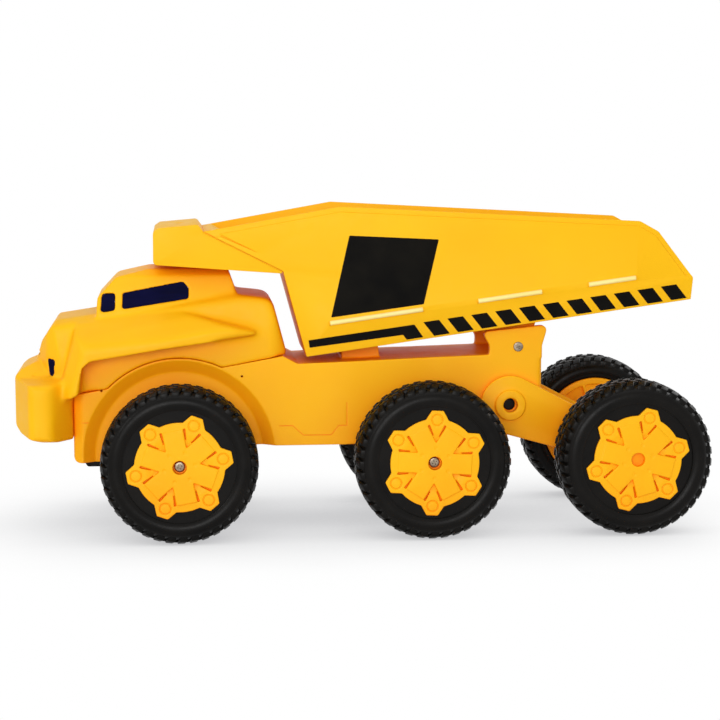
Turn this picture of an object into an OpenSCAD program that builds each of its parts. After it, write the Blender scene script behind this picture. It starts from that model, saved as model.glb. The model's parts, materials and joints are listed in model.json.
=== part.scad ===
// Six-wheeled toy dump truck: a moulded plastic tipper with free-rolling wheels and a tipping dump body.
// X points forwards, Y to the truck's left and Z up, from a point on the floor under the truck's middle.
// Outlines of the cab, hood and chassis are drawn as [forwards, up] from the front axle's centre.
// The dump body and its cab guard are drawn as [forwards along the floor, up from the hinge].

/* [Wheels] */
// Radius over the tyre's lugs
wheel_r = 75; // [72:0.5:78]
// Width of a tyre
tyre_w = 50; // [46:0.5:56]
// Distance between the outer faces of a left and a right tyre
track_out = 246; // [244:0.5:252]
// Height of a tread lug
lug_h = 3.5; // [2:0.5:5]
// Lugs in one row round a tyre
lug_count = 40; // [28:1:48]
// Radius of the hole through the tyre
tyre_hole_r = 40; // [38:0.5:41]
// Radius of the seats for the hub on both sides of a tyre
hub_seat_r = 54; // [53.5:0.5:56]
// Depth of those seats
hub_seat_depth = 4; // [3:0.5:6]
// Radius of an axle rod
axle_r = 4; // [3:0.25:4.5]
// Running clearance between a rod and what turns on it
running_gap = 0.1; // [0.05:0.05:0.2]

/* [Axle places] */
// From the front axle back to the middle axle
front_to_middle = 241; // [236:1:256]
// From the middle axle back to the rear axle
middle_to_rear = 196; // [190:1:208]
// From the front axle forwards to the bumper's nose
nose_ahead = 157; // [153:1:164]

/* [Chassis] */
// Gap between a tyre and the side of the chassis behind the front wheels
wheel_gap = 23; // [18:0.5:26]
// Gap between the tyre and the edge of its arch
arch_gap = 18; // [14:1:20]
// Depth of the dished wheel arch
arch_depth = 9; // [5:1:12]
// Thickness of a hinge ear
ear_t = 8; // [6:0.5:10]
// Height of the hinge pin above the axles
hinge_up = 102; // [98:0.5:106]
// Distance of the hinge pin ahead of the rear axle
hinge_ahead = 104.5; // [101:0.5:109]
// Radius of the hinge pin
pin_r = 3; // [2.5:0.25:4]
// Thickness of a rear axle arm
arm_t = 6; // [4:0.5:8]
// Radius of the arm's front disc
arm_disc_r = 29; // [26:0.5:30]
// Radius of the arm's end round the axle
arm_end_r = 16; // [12:0.5:18]
// Radius of the socket in the arm's boss
socket_r = 7; // [5:0.25:8]

/* [Cab] */
// Wall of the cab moulding
shell_t = 3; // [2:0.25:4]
// Width of the hood
hood_w = 112; // [106:1:120]
// Slope of the hood's top, rising to the rear
hood_slope = 8.6; // [7.5:0.1:9.5]
// Width over the fenders
fender_w = 160; // [150:1:170]
// Width over the bumper
bumper_w = 168; // [158:1:178]
// Width of the cab at its waist
cab_w = 100; // [94:1:104]
// Width of the cab's roof
roof_w = 76; // [70:1:82]
// Depth of a window pane behind the wall's face
pane_inset = 0.8; // [0.4:0.1:1.2]

/* [Dump body] */
// Slope of the dump body's floor at rest, rising to the rear
floor_tilt = 7.9; // [6.5:0.1:8.5]
// Wall of the dump body
bed_t = 3.5; // [2.5:0.25:5]
// Width of the dump body at its lower edge
bed_low_w = 114; // [112:1:122]
// Width of the dump body at its highest edge
bed_top_w = 128; // [122:1:136]
// Height of the stepped rim along the dump body's upper edges
rim_h = 5; // [3:0.5:8]
// Step of that rim behind the side's face
rim_step = 1.2; // [0.8:0.1:1.6]
// Depth of the skirt below the floor
skirt = 14; // [12:0.5:17]
// Thickness of a hinge lug under the floor
lug_t = 8; // [6:0.5:10]

/* [Hidden] */
$fn = 64;
eps = 0.01;
axle_z = wheel_r;
length = nose_ahead + front_to_middle + middle_to_rear + wheel_r;
front_x = length / 2 - nose_ahead;
middle_x = front_x - front_to_middle;
rear_x = middle_x - middle_to_rear;
tyre_in_y = track_out / 2 - tyre_w;
hinge_x = rear_x + hinge_ahead;
hinge_z = axle_z + hinge_up;
hinge_back = front_x - hinge_x;
side_y = tyre_in_y - wheel_gap;
flank_y = hood_w / 2;
chassis_w = 2 * side_y;
flank_w = 2 * flank_y;
arch_r = wheel_r + arch_gap;

// Heights above the axles
belly_up = -6;
floor_up = 8.5;
part_front_up = 60.5;
part_rear_up = 96;
deck_front_up = 88.5;
deck_rear_up = 96;

// Distances forwards of the front axle
front_face = 101.5;
part_rear = -101;
deck_start = -115;
flank_rear = -163;
belly_rear = 66;
tail = -(hinge_back + 24);

// Colours
yellow = "#fcc010";
black = "#1b1a19";
navy = "#10112e";
steel = "#a8a49c";

// Points with rounded corners: each is [x, y, radius]
function flat(p) = [p.x, p.y];
function unit(v) = v / norm(v);
function corner(p, q, s, r, n) =
  r <= 0 ? [q] :
  let (a = unit(p - q), b = unit(s - q), half = acos(max(-1, min(1, a * b))) / 2,
       c = q + unit(a + b) * r / sin(half),
       from = q + a * r / tan(half) - c, to = q + b * r / tan(half) - c,
       start = atan2(from.y, from.x), turn = (atan2(to.y, to.x) - start + 540) % 360 - 180)
  [for (i = [0 : n]) c + r * [cos(start + turn * i / n), sin(start + turn * i / n)]];
function rounded(v, n = 5) = [for (i = [0 : len(v) - 1])
  each corner(flat(v[(i + len(v) - 1) % len(v)]), flat(v[i]), flat(v[(i + 1) % len(v)]), v[i].z, n)];
function across(v) = concat(v, [for (i = [len(v) - 1 : -1 : 0]) [v[i].x, -v[i].y, v[i].z]]);
function about(v) = concat(v, [for (i = [len(v) - 1 : -1 : 0]) [-v[i].x, v[i].y, v[i].z]]);

// A side outline drawn from the front axle, made w wide about the middle
module from_side(w) {
  translate([front_x, 0, axle_z]) rotate([90, 0, 0]) linear_extrude(w, center = true) children();
}
// A plan outline drawn from the front axle, made from one height above the axles to another
module from_top(low, high) {
  translate([front_x, 0, axle_z + low]) linear_extrude(high - low) children();
}
// A cross-section drawn as [across, up from the axles], made from one place to another along the truck
module from_front(back, front) {
  translate([front_x + back, 0, axle_z]) rotate([90, 0, 90]) linear_extrude(front - back) children();
}
// The dump body's own frame: its floor is level here, and the hinge is the origin
module on_hinge() {
  translate([hinge_x, 0, hinge_z]) rotate([0, floor_tilt, 0]) children();
}
module from_side_on_hinge(w) {
  on_hinge() rotate([90, 0, 0]) linear_extrude(w, center = true) children();
}
module both_sides() {
  children();
  mirror([0, 1, 0]) children();
}
module rod(r, length) {
  rotate([90, 0, 0]) cylinder(r = r, h = length, center = true);
}

// Chassis
ear_top = [[36, 15, 4], [-30, 21.5, 5]];
module chassis_outline() {
  polygon(rounded([
    [front_face, belly_up, 6], [front_face, part_front_up, 0], [part_rear, part_rear_up, 0],
    [deck_start, deck_front_up, 3], [tail, deck_rear_up, 3], [tail, 42, 8],
    [tail + 36, floor_up + 4, 8], [-front_to_middle - 50, floor_up, 6],
    [-front_to_middle - 40, belly_up, 3],
    [-front_to_middle + 40, belly_up, 3], [-front_to_middle + 50, floor_up, 6],
    [-belly_rear - 8, floor_up, 5], [-belly_rear, belly_up, 4]]));
}
// The flanks draw in behind the front wheels to the narrower rear
module chassis_plan() {
  polygon(rounded(across([
    [front_face, flank_y - 5, 4], [front_face - 9, flank_y, 10], [flank_rear, flank_y, 240],
    [flank_rear - 80, side_y, 240], [tail, side_y, 5]])));
}
module ear_outline() {
  base = deck_rear_up - hinge_up - 6;
  polygon(rounded([[29, base, 0], [28, 1, 8], ear_top[0], ear_top[1], [-24, 1, 8], [-24, base, 0]]));
}
module arch_cut() {
  both_sides() translate([front_x, flank_y - arch_depth, axle_z]) rotate([-90, 0, 0]) {
    cylinder(r1 = arch_r - arch_depth * 1.3, r2 = arch_r, h = arch_depth + eps);
    translate([0, 0, arch_depth]) cylinder(r = arch_r, h = fender_w / 2);
  }
}
// The chassis rises round each front arch into the cab moulding, which is cut away for it
arch_lip = 2;
hump_gap = 0.2;
module arch_hump(gap) {
  base = 40;
  intersection() {
    translate([front_x, 0, axle_z]) rod(arch_r + arch_lip + gap, flank_w + 10 * gap);
    translate([front_x - arch_r, -flank_w, axle_z + base]) cube([2 * arch_r, 2 * flank_w, arch_r]);
  }
}
// The dump body comes down on this block
rest_ahead = 135;
rest_l = 37;
rest_gap = 0.4;
module bed_rest() {
  rest_w = chassis_w - 40;
  on_hinge() translate([rest_ahead, -rest_w / 2, 0]) cube([rest_l, rest_w, skirt_top - rest_gap]);
}
// Fine grooves on the flanks where the mould's slides met, drawn as [ahead, up]
groove_w = 0.9;
groove_depth = 0.6;
SLIDE_SEAM = [
  [-97, 28], [-110, 28], [-120.5, 18.5], [-147.5, 18.5], [-155, 27.5], [flank_rear, 27.5], [flank_rear, 50]];
FASCIA_SEAM = [[98, 33.7], [72, 33.7]];
module groove(path) {
  both_sides() translate([front_x, flank_y + 1, axle_z]) rotate([90, 0, 0])
    linear_extrude(1 + groove_depth) for (i = [0 : len(path) - 2]) {
      d = unit(path[i + 1] - path[i]) * groove_w / 2;
      n = [-d.y, d.x];
      polygon([path[i] - d + n, path[i + 1] + d + n, path[i + 1] + d - n, path[i] - d - n]);
    }
}
module chassis() color(yellow) difference() {
  union() {
    intersection() {
      from_side(flank_w + 2) chassis_outline();
      from_top(belly_up - 1, part_rear_up + 1) chassis_plan();
    }
    for (s = [1, -1]) translate([hinge_x, s * (side_y - ear_t / 2), hinge_z])
      rotate([90, 0, 0]) linear_extrude(ear_t, center = true) ear_outline();
    arch_hump(0);
    bed_rest();
  }
  arch_cut();
  groove(SLIDE_SEAM);
  groove(FASCIA_SEAM);
  for (x = [front_x, middle_x]) translate([x, 0, axle_z]) rod(axle_r, flank_w + 2);
  translate([hinge_x, 0, hinge_z]) rod(lug_eye_r + 4, chassis_w - 2 * ear_t);
  translate([hinge_x, 0, hinge_z]) rod(pin_r, chassis_w + 2);
  // The sockets in the rear arms go on into the chassis as blind holes
  both_sides() translate([rear_x + arm_boss.x, side_y - socket_depth, axle_z + arm_boss.y])
    rotate([-90, 0, 0]) cylinder(r = socket_r - 1, h = socket_depth + 1);
}

// Cab moulding: hood, cab, fenders and bumper in one shell that sits on the chassis
// Height of the hood's sloping top above the front axle, square to it
hood_top = 148;
// A cross-section drawn as [across, up], made along a line that rises to the rear
module along_slope(slope) {
  translate([front_x, 0, axle_z]) rotate([0, slope, 0]) translate([-200, 0, 0])
    rotate([90, 0, 90]) linear_extrude(400) children();
}
module hood(inset) {
  intersection() {
    from_side(hood_w + 20) offset(delta = -inset) polygon(rounded([
      [137, 56, 0], [137.5, 93, 8], [131, 112, 14], [115, 136, 14],
      [-44, 157.5, 80], [-91, 152, 12], [-105, 99, 4], [-101, 88, 0]]));
    from_top(50, 180) offset(delta = -inset) polygon(rounded(across([
      [137.5, hood_w / 2 - 34, 20], [126, hood_w / 2 - 10, 14], [113, hood_w / 2, 14], [-92, hood_w / 2, 14],
      [-105, hood_w / 2 - 9, 4]])));
    along_slope(hood_slope) offset(delta = -inset) polygon(rounded(about([
      [hood_w / 2, 0, 0], [hood_w / 2, hood_top - 38, 30], [hood_w / 2 - 4.5, hood_top - 5, 8],
      [hood_w / 2 - 18, hood_top, 14], [hood_w / 2 - 36, hood_top + 0.5, 40]])));
  }
}
module cab(inset) {
  intersection() {
    from_side(cab_w + 20) offset(delta = -inset) polygon(rounded([
      [80, 118, 0], [78, 140, 3], [77, 153.5, 4], [59, 173, 10],
      [28, 180.3, 16], [-49, 180.3, 8], [-57, 158, 0], [-60, 118, 0]]));
    from_front(-130, 140) offset(delta = -inset) polygon(rounded(about([
      [cab_w / 2, 110, 0], [cab_w / 2, 138, 6], [roof_w / 2 + 1, 174, 6], [roof_w / 2 - 7, 181, 8]])));
  }
}
// The fenders lean back at the front and draw in to the hood's flanks at the rear
fender_rake = 14.7;
// Sections of the fenders: [place, height of the outer edge, height where they meet the hood]
FENDER_SECTIONS = [[118, 107.5, 128], [-76, 121, 148]];
module fenders() {
  intersection() {
    from_side(fender_w + 2) polygon(rounded([
      [116, 58, 0], [96, 136, 0], [-90, 158, 0], [-90, 119, 0], [-50, 114.7, 60], [18, 105.9, 60],
      [83.5, 95.5, 10], [91.5, 89, 6], [94.5, 58, 0]]));
    translate([front_x + 116, 0, axle_z + 58]) rotate([0, -fender_rake, 0]) translate([-116, 0, -30])
      linear_extrude(140) polygon(rounded(across([
        [118, hood_w / 2 - 12, 10], [115, fender_w / 2 - 14, 5], [103, fender_w / 2, 8],
        [30, fender_w / 2 - 1, 120], [-35, fender_w / 2 - 7, 60], [-76, hood_w / 2 - 1, 20]])));
    hull() for (f = FENDER_SECTIONS) from_front(f[0], f[0] + eps) polygon(rounded(about([
      [fender_w / 2, 40, 0], [fender_w / 2, f[1], 16], [hood_w / 2 - 3.5, f[2], 0]])));
  }
}
module bumper() {
  intersection() {
    from_side(bumper_w + 2) polygon(rounded([
      [nose_ahead, 31, 6], [nose_ahead, 79, 8], [nose_ahead - 7, 85.5, 5], [134, 93, 0],
      [104, 94, 0], [94, 66, 0], [front_face, 18, 2], [126, 17.5, 14], [nose_ahead - 6, 24.5, 6]]));
    from_top(0, 120) polygon(rounded(across([
      [nose_ahead, bumper_w / 2 - 40, 12], [140.5, bumper_w / 2, 9], [121, bumper_w / 2 - 1.5, 14],
      [front_face - 2, flank_y - 2, 0]])));
    from_front(80, nose_ahead + 5) polygon(rounded(about([
      [40, 12, 6], [bumper_w / 2, 20, 8], [bumper_w / 2, 73, 7],
      [hood_w / 2 - 4, 77, 8], [hood_w / 2 - 24, 92, 12]])));
  }
}
module parting() {
  far = 60;
  from_side(bumper_w + 4) polygon([
    [front_face, -far], [front_face, part_front_up], [part_rear, part_rear_up],
    [deck_start, deck_front_up], [deck_start, -far]]);
}
grille_w = 58;
grille_up = 97;
slot_pitch = 7;
slot_h = 3.6;
module grille_slots(gap) {
  for (i = [0 : 3]) from_front(120, nose_ahead)
    translate([-grille_w / 2 + gap, grille_up + i * slot_pitch + gap])
      square([grille_w - 2 * gap, slot_h - 2 * gap]);
}
// Window outlines, as drawn on the side of the cab
QUARTER = [[72.2, 157, 1.5], [60, 157.5, 1.5], [60.5, 141.5, 1.5], [73.7, 140, 1.5]];
DOOR = [[52.6, 157.5, 1.5], [-5.3, 168, 2], [-10.6, 162, 3], [-10, 152, 1.5], [53, 142.5, 1.5]];
module side_windows(gap) {
  for (w = [QUARTER, DOOR]) from_side(cab_w + 20) offset(delta = -gap) polygon(rounded(w));
}
module windscreen_opening(gap) {
  from_front(62, 90) offset(delta = -gap)
    polygon(rounded(about([[cab_w / 2 - 12, 141, 2], [cab_w / 2 - 14, 151.5, 2]])));
}
module headlamp_opening(gap) {
  both_sides() from_front(96, 140) offset(delta = -gap)
    polygon(rounded([
      [hood_w / 2 - 11, 96, 1], [hood_w / 2 - 4.5, 94, 1],
      [hood_w / 2 - 6.2, 78, 0.8], [hood_w / 2 - 9, 78.5, 0.8]]));
}
module cab_shell() color(yellow) difference() {
  union() {
    difference() {
      union() {
        hood(0);
        cab(0);
      }
      hood(shell_t);
      cab(shell_t);
      side_windows(0);
      windscreen_opening(0);
    }
    difference() {
      fenders();
      hood(shell_t);
    }
    difference() {
      bumper();
      hood(shell_t);
    }
  }
  parting();
  arch_hump(hump_gap);
  headlamp_opening(0);
  grille_slots(0);
}
// Panes sit in their openings with this gap all round
pane_gap = 0.15;
module glass_shell() {
  difference() {
    cab(pane_inset);
    cab(shell_t - 0.2);
  }
}
module windows() color(navy) intersection() {
  glass_shell();
  union() {
    side_windows(pane_gap);
    windscreen_opening(pane_gap);
  }
}
module headlamps() color(navy) intersection() {
  difference() {
    hood(pane_inset);
    hood(shell_t - 0.2);
  }
  headlamp_opening(pane_gap);
}
module grille() color(black) intersection() {
  difference() {
    hood(1.6);
    hood(shell_t - 0.2);
  }
  grille_slots(pane_gap);
}

// Axles and what holds them: plates under the belly close the front and middle seats
module axle_cover(ahead, behind) {
  plate = belly_up - 5;
  hump = belly_up - 7;
  from_side(chassis_w - 10) polygon(rounded([
    [ahead, belly_up, 0], [-behind, belly_up, 0], [-behind + 4, plate, 2], [-12, plate, 3],
    [-8, hump, 3], [8, hump, 3], [12, plate, 3], [ahead - 3, plate, 3]]));
}
module front_axle_cover() color(black) axle_cover(92, belly_rear - 4);
module middle_axle_cover() color(black) translate([-front_to_middle, 0, 0]) axle_cover(36, 36);

arm_boss = [113, 45];
arm_boss_r = 15;
arm_boss_t = 3;
socket_depth = 14;
module arm_outline() {
  reach = norm(arm_boss);
  lean = asin((arm_disc_r - arm_end_r) / reach);
  rotate(atan2(arm_boss.y, arm_boss.x)) {
    circle(arm_end_r);
    translate([reach, 0]) circle(arm_disc_r);
    polygon([for (s = [1, -1]) for (e = s > 0 ? [0, 1] : [1, 0])
      [e * reach, 0] + (e ? arm_disc_r : arm_end_r) * [-sin(lean), s * cos(lean)]]);
  }
}
module rear_arm(s) color(yellow) mirror([0, s > 0 ? 0 : 1, 0])
  translate([rear_x, side_y, axle_z]) rotate([90, 0, 0]) difference() {
    socket_l = arm_t + arm_boss_t;
    union() {
      translate([0, 0, -arm_t]) linear_extrude(arm_t) arm_outline();
      translate([0, 0, -1]) cylinder(r = arm_end_r - 3, h = 15);
      translate([arm_boss.x, arm_boss.y, -socket_l]) cylinder(r = arm_boss_r, h = arm_boss_t + 1);
    }
    translate([arm_boss.x, arm_boss.y, -socket_l - 1]) cylinder(r = socket_r, h = socket_l + 2);
    translate([0, 0, -arm_t - 1]) cylinder(r = axle_r, h = arm_t + 20);
  }

cap_face_in = 0.5;
screw_seat = 8;
module axle(x, reach) color(steel) translate([x, 0, axle_z]) rod(axle_r, reach);
axle_len = track_out - 2 * screw_seat + 1;
module wheel_screws() color(steel) for (x = [front_x, middle_x])
  both_sides() translate([x, axle_len / 2, axle_z]) rotate([-90, 0, 0]) {
    cylinder(r = 5.2, h = 2);
    translate([0, 0, 2]) cylinder(r1 = 5.2, r2 = 3.6, h = 1.2);
  }
module hinge_pin() color(steel) translate([hinge_x, 0, hinge_z]) {
  rod(pin_r, chassis_w);
  both_sides() translate([0, side_y, 0]) rotate([-90, 0, 0]) cylinder(r = pin_r + 1.8, h = 2);
}

// Wheels stand on their inner face here, with the axle along Z
module tread_row(z, w, turn) {
  pitch = 360 / lug_count;
  root = wheel_r - lug_h - 2;
  tooth = [[root, -0.34], [wheel_r, -0.29], [wheel_r, 0.29], [root, 0.34]];
  translate([0, 0, z]) linear_extrude(w) difference() {
    polygon([for (i = [0 : lug_count - 1]) for (t = tooth)
      t[0] * [cos((i + turn + t[1]) * pitch), sin((i + turn + t[1]) * pitch)]]);
    circle(hub_seat_r + 4);
  }
}
module tyre() color(black) {
  tread_r = wheel_r - lug_h;
  shoulder = 7;
  rotate_extrude() polygon(rounded([
    [tyre_hole_r, hub_seat_depth, 0], [hub_seat_r, hub_seat_depth, 0], [hub_seat_r, 0, 0],
    [tread_r - 6, 0, 5], [tread_r, shoulder, 5], [tread_r, tyre_w - shoulder, 5], [tread_r - 6, tyre_w, 5],
    [hub_seat_r, tyre_w, 0], [hub_seat_r, tyre_w - hub_seat_depth, 0],
    [tyre_hole_r, tyre_w - hub_seat_depth, 0]]));
  half = (tyre_w - 2 * shoulder - 2) / 2;
  tread_row(shoulder, half, 0);
  tread_row(tyre_w - shoulder - half, half, 0.5);
}

// Six raised spokes run between the bolts of a hub cap.
// Inside each bolt lies a hollow with a slit on both sides
hub_r = 42.5;
lobe_r = 50.3;
bolt_ring_r = 41.5;
bolt_r = 5.2;
bolt_groove = 1.1;
spoke_w = 19;
spoke_end = 35;
spoke_h = 0.8;
slit_w = 2.5;
spoke_ledge = 0.3;
slit_depth = 4;
dimple_ring_r = 14.6;
dimple_r = 1.9;
core_r = tyre_hole_r - 0.2;
core_mid = tyre_w / 2;
apex_r = spoke_w / 2 / sin(30) + 2 * spoke_ledge;
module lobes() {
  circle(hub_r);
  for (i = [0 : 5]) rotate(60 * i) polygon(rounded([
    [hub_r - 4, -12.5, 0], [lobe_r, -5.5, 1.5], [lobe_r, 5.5, 1.5], [hub_r - 4, 12.5, 0]]));
}
module spokes() {
  for (i = [0 : 5]) rotate(60 * i + 30) translate([0, -spoke_w / 2]) square([spoke_end, spoke_w]);
}
module hollow() {
  hollow_depth = 2.4;
  rim = spoke_end - 3;
  wide = (spoke_end - apex_r) * tan(30);
  intersection() {
    linear_extrude(20, center = true) polygon([[apex_r, 0], [spoke_end, wide], [spoke_end, -wide]]);
    rotate([90, 0, 0]) linear_extrude(2 * wide + 2, center = true)
      polygon([[apex_r - 1, 5], [apex_r - 1, -hollow_depth], [rim, 0], [rim, 5]]);
  }
  slit_l = spoke_end - apex_r + 3;
  for (s = [1, -1]) translate([apex_r, 0, -slit_depth]) rotate(30 * s) linear_extrude(slit_depth + 5)
    polygon([[1, -s * spoke_ledge], [slit_l, -s * spoke_ledge], [slit_l, -s * slit_w]]);
}
module hub_cap(closed) color(yellow) {
  seat = tyre_w - hub_seat_depth;
  face = tyre_w - cap_face_in - spoke_h;
  screw_floor = tyre_w - screw_seat;
  difference() {
    union() {
      translate([0, 0, seat]) linear_extrude(face - seat) lobes();
      translate([0, 0, core_mid]) cylinder(r = core_r, h = seat - core_mid + 1);
      translate([0, 0, face - 1]) linear_extrude(1 + spoke_h) spokes();
    }
    for (i = [0 : 5]) rotate(60 * i) translate([0, 0, face]) {
      hollow();
      translate([dimple_ring_r, 0, spoke_h - 0.4]) cylinder(r = dimple_r, h = 2);
      translate([bolt_ring_r, 0, -1.1]) difference() {
        cylinder(r = bolt_r + bolt_groove / 2, h = 2);
        translate([0, 0, -1]) cylinder(r = bolt_r - bolt_groove / 2, h = 4);
      }
    }
    translate([0, 0, core_mid - 1])
      cylinder(r = axle_r + running_gap, h = screw_floor - core_mid + (closed ? -3 : 2));
    translate([0, 0, closed ? face - 5.5 : screw_floor]) cylinder(r = 6.6, h = screw_seat + 2);
  }
}
module hub_disc() color(yellow) difference() {
  union() {
    cylinder(r = hub_seat_r - 0.5, h = hub_seat_depth);
    cylinder(r = core_r, h = core_mid);
  }
  difference() {
    translate([0, 0, -1]) cylinder(r = hub_seat_r - 7, h = 4);
    translate([0, 0, -2]) cylinder(r = 12, h = 8);
    for (i = [0 : 11]) rotate(30 * i) translate([0, -1.5, -2]) cube([hub_seat_r, 3, 8]);
  }
  translate([0, 0, -1]) cylinder(r = axle_r + running_gap, h = core_mid + 2);
}
// Each axle's wheels have come to rest at their own turn
front_turn = 10.5;
middle_turn = 27;
rear_turn = 15;
module on_wheel(x, s, turn) {
  mirror([0, s > 0 ? 0 : 1, 0]) translate([x, tyre_in_y, axle_z]) rotate([-90, 0, 0]) rotate(turn) children();
}

// Dump body
lug_eye_r = 12;
low_edge = 22;
skirt_top = low_edge + skirt;
lug_gap = 2;
lean = (bed_top_w - bed_low_w) / 2 / 137;
bed_front = hinge_back - 125;
bed_tail = -175;
guard_seam = [[bed_front + 11, 108], [bed_front + 81, 156.5]];
peak = [bed_front - 52, 161.5];
module bed_outline() {
  polygon(rounded([
    [bed_front, low_edge, 0], [guard_seam[0].x, guard_seam[0].y, 0], [guard_seam[1].x, guard_seam[1].y, 0],
    [peak.x, peak.y, 8], [-133.5, 105.7, 6], [-150.5, 93, 8], [-179.7, 43, 4], [bed_tail, low_edge, 0]]));
}
// The sides' full thickness ends below a stepped rim
module bed_face() {
  offset(delta = -rim_h) bed_outline();
  intersection() {
    bed_outline();
    union() {
      translate([bed_tail - 20, 0]) square([bed_front - bed_tail + 60, 46]);
      polygon([
        [bed_front - 12, low_edge], [guard_seam[0].x - 12, guard_seam[0].y], guard_seam[1] - [16, rim_h + 2],
        guard_seam[1] + [30, -rim_h - 2], [guard_seam[0].x + 30, low_edge]]);
    }
  }
}
module bed_section(inset, low) {
  on_hinge() translate([-300, 0, 0]) rotate([90, 0, 90]) linear_extrude(800)
    polygon(rounded(about([
      [bed_low_w / 2 - inset + lean * (low - low_edge), low, 0],
      [bed_low_w / 2 - inset + lean * (200 - low_edge), 200, 0]])));
}
module bed_space() {
  floor_in = skirt_top + bed_t;
  wall = (guard_seam[0].x - bed_front) / (guard_seam[0].y - low_edge);
  intersection() {
    from_side_on_hinge(bed_top_w + 40) polygon([
      [bed_front - bed_t + wall * (floor_in - low_edge), floor_in],
      [guard_seam[0].x - bed_t - 1, guard_seam[0].y + bed_t],
      [guard_seam[1].x - bed_t - 1, guard_seam[1].y + bed_t],
      [guard_seam[1].x, 220], [-260, 220], [-260, floor_in]]);
    bed_section(bed_t, floor_in);
  }
}
module bed_ribs() {
  // Three raised ribs on each side, in a line above the lower edge
  rib_up = low_edge + 29.3;
  for (r = [[bed_front - 26, 93], [bed_front - 172, 65], [bed_front - 282, 49]])
    both_sides() on_hinge() translate([r[0] - r[1], bed_low_w / 2 + lean * (rib_up - low_edge), rib_up])
      rotate([0, 90, 0]) cylinder(r = 2.2, h = r[1]);
}
module bed_lugs() {
  both_sides() translate([0, side_y - ear_t - lug_gap - lug_t / 2, 0]) from_side_on_hinge(lug_t) {
    circle(lug_eye_r);
    polygon([[-lug_eye_r, 0], [lug_eye_r, 0], [30, skirt_top + 1], [-30, skirt_top + 1]]);
  }
}
module dump_body() color(yellow) difference() {
  union() {
    difference() {
      union() {
        intersection() {
          from_side_on_hinge(bed_top_w + 20) bed_outline();
          bed_section(rim_step, low_edge);
        }
        intersection() {
          from_side_on_hinge(bed_top_w + 20) bed_face();
          bed_section(0, low_edge);
        }
      }
      bed_space();
      intersection() {
        from_side_on_hinge(bed_low_w) polygon([
          [bed_front - bed_t, 0], [bed_front - bed_t + 2, skirt_top], [-260, skirt_top], [-260, 0]]);
        bed_section(bed_t, 0);
      }
    }
    bed_ribs();
    bed_lugs();
  }
  translate([hinge_x, 0, hinge_z]) rod(pin_r + running_gap, chassis_w);
}
guard_ahead = 133;
guard_top = 166;
module guard_outline() {
  polygon(rounded([
    [guard_seam[0].x + 2, guard_seam[0].y - 2, 0], [bed_front + guard_ahead, 132, 4],
    [bed_front + guard_ahead - 4.5, guard_top - 3, 4], [bed_front + guard_ahead - 10.5, guard_top, 4],
    [guard_seam[1].x + 4, guard_top - 2, 4], [guard_seam[1].x, guard_seam[1].y, 0],
    [guard_seam[0].x, guard_seam[0].y, 0]]));
}
module cab_guard() color(yellow) difference() {
  intersection() {
    from_side_on_hinge(bed_top_w + 20) guard_outline();
    bed_section(0, low_edge);
  }
  intersection() {
    from_side_on_hinge(bed_top_w + 20) polygon([
      [guard_seam[0].x + 8, 80], [bed_front + guard_ahead - bed_t, 80],
      [bed_front + guard_ahead - 4.5 - bed_t, guard_top - 4 - bed_t],
      [guard_seam[1].x + 8, guard_top - 7 - bed_t], [guard_seam[0].x + 8, guard_seam[0].y]]);
    bed_section(bed_t, low_edge);
  }
  // A fine groove shows where the guard is set onto the dump body
  difference() {
    from_side_on_hinge(bed_top_w + 20) polygon([
      guard_seam[0], guard_seam[1],
      guard_seam[1] + [groove_w, -groove_w], guard_seam[0] + [groove_w, -groove_w]]);
    bed_section(groove_depth, low_edge);
  }
  // A sink mark in the middle of the top
  on_hinge() translate([bed_front + 102, 0, guard_top - 2.5]) cylinder(r = 4, h = 6);
}

chassis();
cab_shell();
windows();
headlamps();
grille();
front_axle_cover();
middle_axle_cover();
rear_arm(1);  // rear_arm_left
rear_arm(-1);  // rear_arm_right
axle(front_x, axle_len);  // front_axle
axle(middle_x, axle_len);  // middle_axle
axle(rear_x, axle_len - 16);  // rear_axle
wheel_screws();
hinge_pin();
dump_body();
cab_guard();
on_wheel(front_x, 1, front_turn) tyre();  // tyre_front_left
on_wheel(front_x, 1, front_turn) hub_cap(false);  // hub_cap_front_left
on_wheel(front_x, 1, front_turn) hub_disc();  // hub_disc_front_left
on_wheel(front_x, -1, front_turn) tyre();  // tyre_front_right
on_wheel(front_x, -1, front_turn) hub_cap(false);  // hub_cap_front_right
on_wheel(front_x, -1, front_turn) hub_disc();  // hub_disc_front_right
on_wheel(middle_x, 1, middle_turn) tyre();  // tyre_middle_left
on_wheel(middle_x, 1, middle_turn) hub_cap(false);  // hub_cap_middle_left
on_wheel(middle_x, 1, middle_turn) hub_disc();  // hub_disc_middle_left
on_wheel(middle_x, -1, middle_turn) tyre();  // tyre_middle_right
on_wheel(middle_x, -1, middle_turn) hub_cap(false);  // hub_cap_middle_right
on_wheel(middle_x, -1, middle_turn) hub_disc();  // hub_disc_middle_right
on_wheel(rear_x, 1, rear_turn) tyre();  // tyre_rear_left
on_wheel(rear_x, 1, rear_turn) hub_cap(true);  // hub_cap_rear_left
on_wheel(rear_x, 1, rear_turn) hub_disc();  // hub_disc_rear_left
on_wheel(rear_x, -1, rear_turn) tyre();  // tyre_rear_right
on_wheel(rear_x, -1, rear_turn) hub_cap(true);  // hub_cap_rear_right
on_wheel(rear_x, -1, rear_turn) hub_disc();  // hub_disc_rear_right
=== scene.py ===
"""Looks of a six-wheeled toy dump truck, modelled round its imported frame. Lengths are in metres."""
import json
import math

import bpy
import numpy as np
from mathutils import Matrix, Vector


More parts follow.
